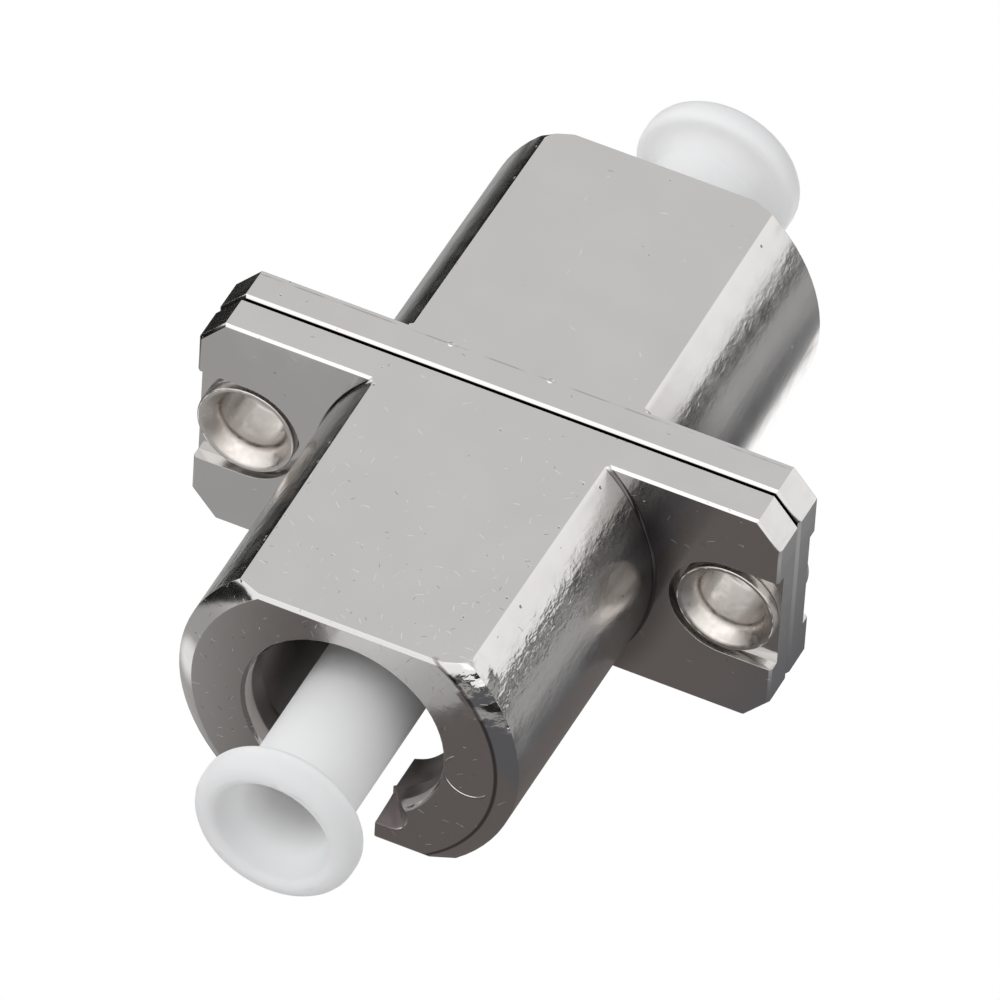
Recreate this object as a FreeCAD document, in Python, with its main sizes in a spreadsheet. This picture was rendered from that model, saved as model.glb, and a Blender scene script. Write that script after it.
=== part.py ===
import FreeCAD, Part
import math
import os
import Sketcher

# Fibre adapter with a round metal body, an oblong panel flange and two slip-on dust caps.
# Frame in millimetres: X along the flange, Y along the optical axis, Z up.
# The origin lies on the optical axis in the plane where the two die-cast halves meet.
# The front half reaches towards -Y. The rear half is the same casting turned half a turn about Z.

# Driving dimensions
SIZES = {
    # Flange plate of one casting
    "flange_length": 22.0,
    "flange_height": 9.5,
    "plate_thickness": 1.52,
    "corner_cut_along": 0.94,
    "corner_cut_up": 1.08,
    "plate_edge_chamfer": 0.1,
    "seam_chamfer": 0.22,
    "seam_gap": 0.1,
    "seam_gap_reach": 0.35,
    # Barrel of one casting
    "shell_depth": 12.66,
    "barrel_root_radius": 6.45,
    "barrel_end_radius": 6.39,
    "barrel_root_bevel": 0.08,
    "end_bevel_in": 0.68,
    "end_bevel_back": 0.46,
    "flat_bevel_in": 0.16,
    "flat_bevel_back": 0.1,
    # Port of one casting
    "mouth_radius": 3.73,
    "mouth_edge_chamfer": 0.12,
    "mouth_lip": 1.4,
    "cavity_radius": 3.95,
    "cavity_step": 0.28,
    # Latch keyway under the port
    "key_half_width": 2.6,
    "key_roof": 2.63,
    "key_floor": 3.97,
    "key_throat_roof": 3.35,
    "key_throat_floor": 3.87,
    "key_throat_extra": 0.12,
    "lever_half_width": 1.4,
    # Latch window in the bottom wall
    "window_front_depth": 3.1,
    "window_length": 3.6,
    "window_half_width": 2.55,
    "window_corner": 0.8,
    # Fixing holes
    "hole_end_distance": 1.9,
    "recess_radius": 2.1,
    "recess_depth": 0.45,
    "eyelet_bore_radius": 1.2,
    "eyelet_wall": 0.2,
    "eyelet_rim_radius": 1.85,
    "eyelet_rim_sink": 0.04,
    "eyelet_rim_edge": 0.1,
    "eyelet_funnel_radius": 1.32,
    "eyelet_funnel_depth": 0.4,
    "eyelet_throat_depth": 0.25,
    "eyelet_hole_clearance": 0.03,
    # Sleeve holder halves, trapped between the castings
    "holder_flange_radius": 4.25,
    "holder_flange_flat": 3.6,
    "holder_flange_thickness": 1.2,
    "holder_seat_clearance": 0.05,
    "holder_barrel_radius": 1.25,
    "holder_lip": 0.55,
    "holder_lip_radius": 0.78,
    "holder_edge_chamfer": 0.15,
    # Split sleeve that lines up the ferrules
    "sleeve_length": 6.8,
    "sleeve_bore_radius": 0.6245,
    "sleeve_wall": 0.1855,
    "sleeve_slot": 0.4,
    "sleeve_edge_chamfer": 0.06,
    "sleeve_end_play": 0.05,
    "sleeve_side_play": 0.04,
    # Dust caps
    "cap_overall_reach": 18.35,
    "cap_inner_gap": 0.3,
    "cap_shaft_radius": 1.975,
    "cap_rim_radius": 3.02,
    "cap_rim_thickness": 1.27,
    "cap_rim_front_in": 0.57,
    "cap_rim_front_back": 0.4,
    "cap_flare_reach": 0.85,
    "cap_flare_waist": 0.25,
    "cap_rim_back_edge": 0.12,
    "cap_mouth_radius": 2.2,
    "cap_funnel_depth": 1.7,
    "cap_hollow_radius": 1.42,
    "cap_hollow_depth": 8.82,
    "cap_web": 1.2,
    "cap_grip_clearance": 0.02,
    "cap_tail_chamfer": 0.2,
}

document = FreeCAD.newDocument("FibreAdapter")
sheet = document.addObject("Spreadsheet::Sheet", "Sizes")
for row, (alias, number) in enumerate(SIZES.items(), start=1):
    sheet.set("A%d" % row, alias.replace("_", " "))
    sheet.set("B%d" % row, str(number))
    sheet.setAlias("B%d" % row, alias)
document.recompute()


class Size:
    """A length that carries both its number and the sheet expression that gives it."""

    def __init__(self, number, text=None):
        self.number = float(number)
        self.text = text if text else repr(float(number))

    def joined(self, sign, other, number):
        return Size(number, "(%s %s %s)" % (self.text, sign, as_size(other).text))

    def __add__(self, other):
        return self.joined("+", other, self.number + as_size(other).number)

    def __sub__(self, other):
        return self.joined("-", other, self.number - as_size(other).number)

    def __mul__(self, factor):
        return self.joined("*", factor, self.number * as_size(factor).number)

    def __truediv__(self, divisor):
        return self.joined("/", divisor, self.number / as_size(divisor).number)

    def __neg__(self):
        return Size(-self.number, "(0 - %s)" % self.text)


def as_size(value):
    return value if isinstance(value, Size) else Size(value)


def root_of(size):
    return Size(math.sqrt(size.number), "sqrt(%s)" % size.text)


class Dimensions:
    """Every driving dimension by its name."""


dim = Dimensions()
for alias, number in SIZES.items():
    setattr(dim, alias, Size(number, "Sizes." + alias))

NOTHING = Size(0)

# Places that more than one piece depends on
half_height = dim.flange_height / 2
hole_offset = dim.flange_length / 2 - dim.hole_end_distance
recess_floor = dim.plate_thickness - dim.recess_depth
holder_end = dim.sleeve_length / 2 + dim.sleeve_end_play + dim.holder_lip
sleeve_outer_radius = dim.sleeve_bore_radius + dim.sleeve_wall
eyelet_shank_radius = dim.eyelet_bore_radius + dim.eyelet_wall
overrun = Size(1)


# Sketching

def origin_feature(body, role):
    return next(item for item in body.Origin.OriginFeatures if item.Role == role)


def new_sketch(body, name, plane, offset=NOTHING):
    """An empty sketch on one of the body's own planes, moved along that plane's normal."""
    sketch = body.newObject("Sketcher::SketchObject", name)
    sketch.AttachmentSupport = [(origin_feature(body, plane), "")]
    sketch.MapMode = "FlatFace"
    if offset.number:
        sketch.AttachmentOffset = FreeCAD.Placement(
            FreeCAD.Vector(0, 0, offset.number), FreeCAD.Rotation())
        sketch.setExpression("AttachmentOffset.Base.z", offset.text)
    return sketch


def tie(sketch, kind, geometry, point, size):
    """Holds one coordinate of a point at a size measured from the sketch's origin."""
    if size.number == 0:
        axis = -2 if kind == "DistanceX" else -1
        sketch.addConstraint(Sketcher.Constraint("PointOnObject", geometry, point, axis))
        return
    rule = Sketcher.Constraint(kind, -1, 1, geometry, point, size.number)
    index = sketch.addConstraint(rule)
    sketch.setExpression("Constraints[%d]" % index, size.text)


class Arc:
    """Stands between two corners of an outline: the way between them is an arc about this centre."""

    def __init__(self, x, y, counter_clockwise=True):
        self.x = as_size(x)
        self.y = as_size(y)
        self.counter_clockwise = counter_clockwise


def draw_outline(sketch, way):
    """A closed loop through corners (x, y), straight between them unless an Arc stands there."""
    corners = [tuple(as_size(v) for v in item) for item in way if not isinstance(item, Arc)]
    arcs = {}
    count = -1
    for item in way:
        if isinstance(item, Arc):
            arcs[count] = item
        else:
            count += 1
    edges = []
    for index, (x, y) in enumerate(corners):
        far_x, far_y = corners[(index + 1) % len(corners)]
        here = FreeCAD.Vector(x.number, y.number, 0)
        there = FreeCAD.Vector(far_x.number, far_y.number, 0)
        arc = arcs.get(index)
        if arc is None:
            geometry = sketch.addGeometry(Part.LineSegment(here, there), False)
            edges.append((geometry, 1, 2))
            continue
        centre = FreeCAD.Vector(arc.x.number, arc.y.number, 0)
        start, end = (here, there) if arc.counter_clockwise else (there, here)
        angles = [math.atan2(p.y - centre.y, p.x - centre.x) for p in (start, end)]
        circle = Part.Circle(centre, FreeCAD.Vector(0, 0, 1), (start - centre).Length)
        geometry = sketch.addGeometry(Part.ArcOfCircle(circle, angles[0], angles[1]), False)
        edges.append((geometry, 1, 2) if arc.counter_clockwise else (geometry, 2, 1))
    for index, (x, y) in enumerate(corners):
        geometry, start, _ = edges[index]
        before, _, end = edges[index - 1]
        sketch.addConstraint(Sketcher.Constraint("Coincident", before, end, geometry, start))
        tie(sketch, "DistanceX", geometry, start, x)
        tie(sketch, "DistanceY", geometry, start, y)
    for index, arc in arcs.items():
        x, y = corners[index]
        far_x, far_y = corners[(index + 1) % len(corners)]
        upright = abs(far_y.number - y.number) >= abs(far_x.number - x.number)
        if upright:
            tie(sketch, "DistanceX", edges[index][0], 3, arc.x)
        else:
            tie(sketch, "DistanceY", edges[index][0], 3, arc.y)


def draw_box(sketch, left, right, low, high):
    left, right, low, high = (as_size(v) for v in (left, right, low, high))
    draw_outline(sketch, [(left, low), (right, low), (right, high), (left, high)])


def draw_circle(sketch, x, y, radius):
    x, y, radius = as_size(x), as_size(y), as_size(radius)
    circle = Part.Circle(FreeCAD.Vector(x.number, y.number, 0), FreeCAD.Vector(0, 0, 1), radius.number)
    geometry = sketch.addGeometry(circle, False)
    tie(sketch, "DistanceX", geometry, 3, x)
    tie(sketch, "DistanceY", geometry, 3, y)
    index = sketch.addConstraint(Sketcher.Constraint("Radius", geometry, radius.number))
    sketch.setExpression("Constraints[%d]" % index, radius.text)


def draw_double_d(sketch, radius, flat):
    """A circle cut off level above and below."""
    half_chord = root_of(radius * radius - flat * flat)
    draw_outline(sketch, [
        (half_chord, -flat), Arc(0, 0), (half_chord, flat),
        (-half_chord, flat), Arc(0, 0), (-half_chord, -flat),
    ])


def draw_lozenge(sketch, half_width, roof, floor):
    """A slot with round ends that lies below the axis."""
    middle = -(roof + floor) / 2
    radius = (floor - roof) / 2
    centre = half_width - radius
    draw_outline(sketch, [
        (centre, -floor), Arc(centre, middle), (centre, -roof),
        (-centre, -roof), Arc(-centre, middle), (-centre, -floor),
    ])


# Features

def extrude(body, kind, name, sketch, length, side="One side"):
    feature = body.newObject(kind, name)
    feature.Profile = sketch
    feature.SideType = side
    feature.Length = length.number
    feature.setExpression("Length", length.text)
    sketch.Visibility = False
    return feature


def pad(body, name, sketch, length, side="One side"):
    return extrude(body, "PartDesign::Pad", name, sketch, length, side)


def pocket(body, name, sketch, length, side="One side"):
    return extrude(body, "PartDesign::Pocket", name, sketch, length, side)


def turned(body, kind, name, corners):
    """A profile in the YZ plane, given as (y, radius), turned about the Y axis."""
    sketch = new_sketch(body, name + "_profile", "YZ_Plane")
    draw_outline(sketch, corners)
    feature = body.newObject(kind, name)
    feature.Profile = sketch
    feature.ReferenceAxis = (sketch, ["H_Axis"])
    feature.Angle = 360
    sketch.Visibility = False
    return feature


def mirrored(body, name, originals):
    """Repeats features on the other side of the YZ plane."""
    feature = body.newObject("PartDesign::Mirrored", name)
    feature.Originals = originals
    feature.MirrorPlane = (origin_feature(body, "YZ_Plane"), [""])
    body.Tip = feature
    return feature


def edges_of(feature, wanted):
    """The names of the feature's edges that the test accepts."""
    document.recompute()
    edges = enumerate(feature.Shape.Edges, start=1)
    return ["Edge%d" % number for number, edge in edges if wanted(edge)]


def close(first, second):
    return abs(first - second) < 1e-4


def lies_at(y):
    """A test for edges whose every point lies in one plane across the optical axis."""
    return lambda edge: all(close(corner.Y, y.number) for corner in edge.Vertexes)


def ring_at(y, radius):
    """A test for the round edge of a turned piece at one place along its axis."""

    def test(edge):
        round_edge = isinstance(edge.Curve, Part.Circle)
        return round_edge and close(edge.Curve.Center.y, y.number) and close(edge.Curve.Radius, radius.number)

    return test


def chamfer(body, name, base, wanted, size):
    names = edges_of(base, wanted)
    feature = body.newObject("PartDesign::Chamfer", name)
    feature.Base = (base, names)
    feature.Size = size.number
    feature.setExpression("Size", size.text)
    return feature


def new_body(label, turn=0):
    body = document.addObject("PartDesign::Body", label)
    body.Label = label
    body.Placement = FreeCAD.Placement(
        FreeCAD.Vector(0, 0, 0), FreeCAD.Rotation(FreeCAD.Vector(0, 0, 1), turn))
    return body


# Die-cast half: flange plate, flatted barrel, round port and latch keyway

def cast_half(label, turn):
    body = new_body(label, turn)
    add_flange_plate(body)
    add_barrel(body)
    cut_port(body)
    cut_latch_way(body)
    cut_fixing_holes(body)
    return body


def draw_plate_outline(sketch, inset=NOTHING):
    """The oblong with cut corners, drawn inwards by the inset."""
    half_length = dim.flange_length / 2 - inset
    top = half_height - inset
    inner_x = half_length - dim.corner_cut_along
    inner_z = top - dim.corner_cut_up
    draw_outline(sketch, [
        (half_length, -inner_z), (half_length, inner_z),
        (inner_x, top), (-inner_x, top),
        (-half_length, inner_z), (-half_length, -inner_z),
        (-inner_x, -top), (inner_x, -top),
    ])


def add_flange_plate(body):
    sketch = new_sketch(body, "plate_outline", "XZ_Plane")
    draw_plate_outline(sketch)
    plate = pad(body, "plate", sketch, dim.plate_thickness)
    seam = chamfer(body, "seam_edge", plate, lies_at(NOTHING), dim.seam_chamfer)
    chamfer(body, "plate_edge", seam, lies_at(-dim.plate_thickness), dim.plate_edge_chamfer)
    # The two plates touch only inside their rims, which leaves the dark joint line all round
    sketch = new_sketch(body, "seam_gap_outline", "XZ_Plane")
    past_x = dim.flange_length / 2 + overrun
    past_z = half_height + overrun
    draw_box(sketch, -past_x, past_x, -past_z, past_z)
    draw_plate_outline(sketch, dim.seam_gap_reach)
    pocket(body, "seam_gap", sketch, dim.seam_gap * 2, "Symmetric")


def add_barrel(body):
    root = dim.plate_thickness - dim.plate_edge_chamfer
    bevel_end = dim.plate_thickness + dim.barrel_root_bevel
    bevel_radius = dim.barrel_root_radius + dim.barrel_root_bevel
    turned(body, "PartDesign::Revolution", "barrel", [
        (-root, 0),
        (-root, bevel_radius),
        (-dim.plate_thickness, bevel_radius),
        (-bevel_end, dim.barrel_root_radius),
        (-(dim.shell_depth - dim.end_bevel_back), dim.barrel_end_radius),
        (-dim.shell_depth, dim.barrel_end_radius - dim.end_bevel_in),
        (-dim.shell_depth, 0),
    ])
    reach = dim.barrel_root_radius + overrun
    sketch = new_sketch(body, "flats_outline", "XZ_Plane", dim.shell_depth)
    draw_box(sketch, -reach, reach, half_height, half_height + reach)
    draw_box(sketch, -reach, reach, -(half_height + reach), -half_height)
    pocket(body, "flats", sketch, dim.shell_depth)
    sketch = new_sketch(body, "flat_bevel_outline", "YZ_Plane")
    for side in (1, -1):
        top = half_height * side
        low = (half_height - dim.flat_bevel_in) * side
        back = -(dim.shell_depth - dim.flat_bevel_back)
        draw_outline(sketch, [(back, top), (-dim.shell_depth, low), (-dim.shell_depth, top)])
    pocket(body, "flat_bevel", sketch, dim.barrel_root_radius * 2, "Symmetric")


def cut_port(body):
    lip_back = dim.shell_depth - dim.mouth_lip
    turned(body, "PartDesign::Groove", "cavity", [
        (-dim.holder_flange_thickness, 0),
        (-dim.holder_flange_thickness, dim.cavity_radius),
        (-(lip_back - dim.cavity_step), dim.cavity_radius),
        (-lip_back, dim.mouth_radius),
        (-(dim.shell_depth - dim.mouth_edge_chamfer), dim.mouth_radius),
        (-dim.shell_depth, dim.mouth_radius + dim.mouth_edge_chamfer),
        (-dim.shell_depth, 0),
    ])
    sketch = new_sketch(body, "holder_seat_outline", "XZ_Plane", dim.holder_flange_thickness)
    seat_radius = dim.holder_flange_radius + dim.holder_seat_clearance
    seat_flat = dim.holder_flange_flat + dim.holder_seat_clearance
    draw_double_d(sketch, seat_radius, seat_flat)
    pocket(body, "holder_seat", sketch, dim.holder_flange_thickness)


def cut_latch_way(body):
    """The keyway narrows through the lip to the lever gap, which opens into the latch window."""
    throat_depth = dim.shell_depth - dim.mouth_lip
    mouth = new_sketch(body, "keyway_mouth", "XZ_Plane", dim.shell_depth)
    draw_lozenge(mouth, dim.key_half_width, dim.key_roof, dim.key_floor)
    throat = new_sketch(body, "keyway_throat", "XZ_Plane", throat_depth)
    throat_half_width = dim.lever_half_width + dim.key_throat_extra
    draw_lozenge(throat, throat_half_width, dim.key_throat_roof, dim.key_throat_floor)
    keyway = body.newObject("PartDesign::SubtractiveLoft", "keyway")
    keyway.Profile = mouth
    keyway.Sections = [throat]
    keyway.Ruled = True
    mouth.Visibility = False
    throat.Visibility = False
    below = half_height + overrun
    sketch = new_sketch(body, "lever_gap_outline", "XZ_Plane", dim.shell_depth)
    draw_box(sketch, -dim.lever_half_width, dim.lever_half_width, -below, 0)
    pocket(body, "lever_gap", sketch, dim.window_front_depth + dim.window_corner)
    front = -(dim.shell_depth - dim.window_front_depth)
    back = front + dim.window_length
    side = dim.window_half_width
    inner_side = side - dim.window_corner
    inner_front = front + dim.window_corner
    inner_back = back - dim.window_corner
    sketch = new_sketch(body, "latch_window_outline", "XY_Plane")
    draw_outline(sketch, [
        (side, inner_front), (side, inner_back), Arc(inner_side, inner_back),
        (inner_side, back), (-inner_side, back), Arc(-inner_side, inner_back),
        (-side, inner_back), (-side, inner_front), Arc(-inner_side, inner_front),
        (-inner_side, front), (inner_side, front), Arc(inner_side, inner_front),
    ])
    pocket(body, "latch_window", sketch, below)


def cut_fixing_holes(body):
    """Each hole sits in a shallow recess that runs out through the flange's end."""
    past_end = dim.flange_length / 2 + overrun
    radius = dim.recess_radius
    sketch = new_sketch(body, "recess_outline", "XZ_Plane", dim.plate_thickness)
    draw_outline(sketch, [
        (past_end, -radius), (past_end, radius),
        (hole_offset, radius), Arc(hole_offset, 0), (hole_offset, -radius),
    ])
    recess = pocket(body, "recess", sketch, dim.recess_depth)
    sketch = new_sketch(body, "hole_outline", "XZ_Plane", dim.plate_thickness)
    draw_circle(sketch, hole_offset, 0, eyelet_shank_radius + dim.eyelet_hole_clearance)
    hole = pocket(body, "hole", sketch, dim.plate_thickness)
    mirrored(body, "other_end", [recess, hole])


# Hollow rivet that clenches the two plates together and lines a fixing hole

def eyelet(label, offset):
    body = document.addObject("PartDesign::Body", label)
    body.Label = label
    body.Placement.Base = FreeCAD.Vector(offset.number, 0, 0)
    body.setExpression("Placement.Base.x", offset.text)
    face = dim.plate_thickness - dim.eyelet_rim_sink
    funnel = face - dim.eyelet_funnel_depth
    funnel_top = dim.eyelet_rim_radius - dim.eyelet_rim_edge * 1.5
    half = [
        (recess_floor, eyelet_shank_radius),
        (recess_floor, dim.eyelet_rim_radius),
        (face - dim.eyelet_rim_edge, dim.eyelet_rim_radius),
        (face, dim.eyelet_rim_radius - dim.eyelet_rim_edge),
        (face, funnel_top),
        (funnel, dim.eyelet_funnel_radius),
        (funnel - dim.eyelet_throat_depth, dim.eyelet_bore_radius),
    ]
    other_half = [(-y, radius) for y, radius in reversed(half)]
    turned(body, "PartDesign::Revolution", "rivet", half + other_half)
    return body


# Sleeve holder half: a flange with two flats and a thin barrel that the plug slides over

def sleeve_holder(label, turn):
    body = new_body(label, turn)
    sketch = new_sketch(body, "flange_outline", "XZ_Plane")
    draw_double_d(sketch, dim.holder_flange_radius, dim.holder_flange_flat)
    pad(body, "flange", sketch, dim.holder_flange_thickness)
    edge = dim.holder_edge_chamfer
    turned(body, "PartDesign::Revolution", "tube", [
        (-dim.holder_flange_thickness, 0),
        (-dim.holder_flange_thickness, dim.holder_barrel_radius),
        (-(holder_end - edge), dim.holder_barrel_radius),
        (-holder_end, dim.holder_barrel_radius - edge),
        (-holder_end, 0),
    ])
    room = dim.sleeve_length / 2 + dim.sleeve_end_play
    room_radius = sleeve_outer_radius + dim.sleeve_side_play
    turned(body, "PartDesign::Groove", "sleeve_room", [
        (0, 0),
        (0, room_radius),
        (-room, room_radius),
        (-room, dim.holder_lip_radius),
        (-(holder_end - edge), dim.holder_lip_radius),
        (-holder_end, dim.holder_lip_radius + edge),
        (-holder_end, 0),
    ])
    return body


# Split sleeve

def split_sleeve(label):
    body = new_body(label)
    sketch = new_sketch(body, "ring_outline", "XZ_Plane")
    draw_circle(sketch, 0, 0, sleeve_outer_radius)
    draw_circle(sketch, 0, 0, dim.sleeve_bore_radius)
    tube = pad(body, "tube", sketch, dim.sleeve_length, "Symmetric")
    mouths = [ring_at(dim.sleeve_length / 2 * end, dim.sleeve_bore_radius) for end in (1, -1)]
    chamfer(body, "lead_in", tube, lambda edge: any(test(edge) for test in mouths), dim.sleeve_edge_chamfer)
    sketch = new_sketch(body, "slot_outline", "XZ_Plane")
    half_slot = dim.sleeve_slot / 2
    draw_box(sketch, -half_slot, half_slot, 0, sleeve_outer_radius + overrun)
    pocket(body, "slot", sketch, dim.sleeve_length, "Symmetric")
    return body


# Dust cap: a soft moulded tube that slips over the holder's barrel, with a flared rim to pull

def dust_cap(label, turn):
    body = new_body(label, turn)
    tail = dim.holder_flange_thickness + dim.cap_inner_gap
    grip_radius = dim.holder_barrel_radius + dim.cap_grip_clearance
    outer_end = dim.cap_overall_reach
    hollow_floor = outer_end - dim.cap_hollow_depth
    grip_floor = hollow_floor - dim.cap_web
    rim_back = outer_end - dim.cap_rim_thickness
    flare, waist = dim.cap_flare_reach, dim.cap_flare_waist
    shaft = turned(body, "PartDesign::Revolution", "moulding", [
        (-grip_floor, 0),
        (-grip_floor, grip_radius),
        (-tail, grip_radius),
        (-tail, dim.cap_shaft_radius),
        (-(rim_back - flare), dim.cap_shaft_radius),
        (-(rim_back - waist), dim.cap_shaft_radius + waist),
        (-rim_back, dim.cap_shaft_radius + flare),
        (-rim_back, dim.cap_rim_radius),
        (-(outer_end - dim.cap_rim_front_back), dim.cap_rim_radius),
        (-outer_end, dim.cap_rim_radius - dim.cap_rim_front_in),
        (-outer_end, dim.cap_mouth_radius),
        (-(outer_end - dim.cap_funnel_depth), dim.cap_hollow_radius),
        (-hollow_floor, dim.cap_hollow_radius),
        (-hollow_floor, 0),
    ])
    back = chamfer(body, "rim_back_edge", shaft, ring_at(-rim_back, dim.cap_rim_radius), dim.cap_rim_back_edge)
    tail_rings = [ring_at(-tail, grip_radius), ring_at(-tail, dim.cap_shaft_radius)]
    chamfer(body, "tail_edges", back, lambda edge: any(test(edge) for test in tail_rings), dim.cap_tail_chamfer)
    return body


FRONT, REAR = 0, 180
pieces = [
    cast_half("front_shell", FRONT),
    cast_half("rear_shell", REAR),
    eyelet("left_eyelet", -hole_offset),
    eyelet("right_eyelet", hole_offset),
    sleeve_holder("front_sleeve_holder", FRONT),
    sleeve_holder("rear_sleeve_holder", REAR),
    split_sleeve("split_sleeve"),
    dust_cap("front_dust_cap", FRONT),
    dust_cap("rear_dust_cap", REAR),
]
document.recompute()

# Nothing is written unless every object and every piece is sound
for item in document.Objects:
    faults = [state for state in item.State if state in ("Invalid", "Error")]
    if faults:
        raise RuntimeError("%s is %s" % (item.Label, faults))
for piece in pieces:
    if piece.Shape.isNull() or not piece.Shape.isValid() or len(piece.Shape.Solids) != 1:
        raise RuntimeError("%s has no sound single solid" % piece.Label)

os.makedirs("parts", exist_ok=True)
for piece in pieces:
    piece.Shape.exportStep("parts/%s.step" % piece.Label)
    box = piece.Shape.BoundBox
    print("%s: %.2f mm3, x %.2f to %.2f, y %.2f to %.2f, z %.2f to %.2f" % (
        piece.Label, piece.Shape.Volume, box.XMin, box.XMax, box.YMin, box.YMax, box.ZMin, box.ZMax))
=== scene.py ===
# %% [markdown]
# # A metal fibre adapter with two dust caps
#
# The adapter is two nickel-plated zinc castings that are clenched face to face by hollow rivets.
# The CAD model gives every piece its true size and place. This lesson gives those pieces the finish
# of the real ones: rounded casting edges, tumbling scratches, rolled rivets and soft milky caps.

import math
from types import SimpleNamespace

import bmesh
import bpy
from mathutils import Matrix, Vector


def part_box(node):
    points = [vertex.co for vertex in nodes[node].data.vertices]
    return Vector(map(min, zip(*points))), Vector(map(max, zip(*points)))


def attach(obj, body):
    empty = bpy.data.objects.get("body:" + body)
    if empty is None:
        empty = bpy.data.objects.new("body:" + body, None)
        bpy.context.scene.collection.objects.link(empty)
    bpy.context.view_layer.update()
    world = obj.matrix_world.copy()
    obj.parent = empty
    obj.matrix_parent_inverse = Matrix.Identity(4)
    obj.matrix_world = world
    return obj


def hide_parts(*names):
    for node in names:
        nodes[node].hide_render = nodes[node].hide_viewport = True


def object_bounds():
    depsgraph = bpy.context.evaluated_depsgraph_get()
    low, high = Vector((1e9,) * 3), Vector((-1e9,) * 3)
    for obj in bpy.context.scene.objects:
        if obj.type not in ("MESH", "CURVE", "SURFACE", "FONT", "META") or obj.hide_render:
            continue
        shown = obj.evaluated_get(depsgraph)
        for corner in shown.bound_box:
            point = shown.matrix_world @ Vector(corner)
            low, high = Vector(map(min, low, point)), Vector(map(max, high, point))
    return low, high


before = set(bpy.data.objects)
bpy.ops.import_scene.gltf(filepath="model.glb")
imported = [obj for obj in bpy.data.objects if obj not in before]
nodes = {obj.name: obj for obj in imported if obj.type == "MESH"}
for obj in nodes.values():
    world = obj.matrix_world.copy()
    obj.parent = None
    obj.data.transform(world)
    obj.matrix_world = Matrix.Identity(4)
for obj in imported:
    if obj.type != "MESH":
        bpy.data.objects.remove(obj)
cad_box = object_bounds()
MM = 0.001
low, high = cad_box
print("CAD box in mm:", [round((b - a) / MM, 2) for a, b in zip(low, high)])

# %% [markdown]
# ## Camera
#
# The photograph was taken from far away with a long lens, so parallel edges stay nearly parallel.
# The camera stands 22.6 degrees round from the front and 45.3 degrees up, and is rolled a little. A
# camera matrix made from its three directions is exact, where aiming at a target would lose the
# roll.

# %% Camera
AZIMUTH = math.radians(22.563)
ELEVATION = math.radians(45.304)
ROLL = math.radians(-3.898)
DISTANCE = 645.66 * MM
SLIDE_RIGHT = -0.086 * MM
SLIDE_UP = -0.263 * MM
FOCAL_PIXELS = 18829.9
IMAGE_PIXELS = 1000
SENSOR = 36.0


def photo_camera():
    toward = Vector((math.sin(AZIMUTH) * math.cos(ELEVATION),
                     -math.cos(AZIMUTH) * math.cos(ELEVATION),
                     math.sin(ELEVATION)))
    level = Vector((math.cos(AZIMUTH), math.sin(AZIMUTH), 0))
    upright = toward.cross(level)
    right = math.cos(ROLL) * level - math.sin(ROLL) * upright
    up = math.sin(ROLL) * level + math.cos(ROLL) * upright
    camera = bpy.data.objects.new("photo_camera", bpy.data.cameras.new("photo_camera"))
    bpy.context.scene.collection.objects.link(camera)
    camera.location = toward * DISTANCE + right * SLIDE_RIGHT + up * SLIDE_UP
    turn = camera.rotation_euler.to_matrix()
    turn.col[0], turn.col[1], turn.col[2] = right, up, toward
    camera.rotation_euler = turn.to_euler()
    camera.data.sensor_width = SENSOR
    camera.data.lens = FOCAL_PIXELS / IMAGE_PIXELS * SENSOR
    camera.data.clip_start = 0.01
    camera.data.clip_end = 20
    return camera


bpy.context.scene.camera = photo_camera()
print("lens:", round(bpy.context.scene.camera.data.lens, 1), "mm")

# %% [markdown]
# ## Node helpers
#
# A material is a graph. One helper adds a node and fills its inputs with numbers or with other
# nodes' outputs, so each finish below reads from top to bottom like a recipe.


# %% Node helpers
def add(tree, kind, inputs=None, **settings):
    node = tree.nodes.new(kind)
    for key, value in settings.items():
        setattr(node, key, value)
    for key, value in (inputs or {}).items():
        socket = node.inputs[key]
        if isinstance(value, bpy.types.NodeSocket):
            tree.links.new(value, socket)
        else:
            socket.default_value = value
    return node


def math_of(tree, operation, first, second=0.0, third=0.0):
    return add(tree, "ShaderNodeMath", {0: first, 1: second, 2: third}, operation=operation).outputs[0]


def size_of(tree, value):
    return math_of(tree, "ABSOLUTE", value)


def off_by(tree, value, level):
    """How far value is from level, either way."""
    return size_of(tree, math_of(tree, "SUBTRACT", value, level))


def rest_of(tree, share):
    """What a share leaves of one."""
    return math_of(tree, "SUBTRACT", 1.0, share)


def product(tree, *values):
    result = values[0]
    for value in values[1:]:
        result = math_of(tree, "MULTIPLY", result, value)
    return result


def most_of(tree, *values):
    result = values[0]
    for value in values[1:]:
        result = math_of(tree, "MAXIMUM", result, value)
    return result


def length_of(tree, vector):
    return add(tree, "ShaderNodeVectorMath", {0: vector}, operation="LENGTH").outputs["Value"]


def distance_to(tree, place, centre):
    return add(tree, "ShaderNodeVectorMath", {0: place, 1: centre}, operation="DISTANCE").outputs["Value"]


def along(tree, place, direction):
    node = add(tree, "ShaderNodeVectorMath", {0: place, 1: direction}, operation="DOT_PRODUCT")
    return node.outputs["Value"]


def flat_point(tree, first, second):
    return add(tree, "ShaderNodeCombineXYZ", {0: first, 1: second}).outputs[0]


def rise(tree, value, start, end, least=0.0, most=1.0):
    """Goes smoothly from least to most as value goes from start to end."""
    node = add(tree, "ShaderNodeMapRange",
               {"Value": value, "From Min": start, "From Max": end, "To Min": least, "To Max": most},
               interpolation_type="SMOOTHSTEP")
    return node.outputs["Result"]


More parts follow.
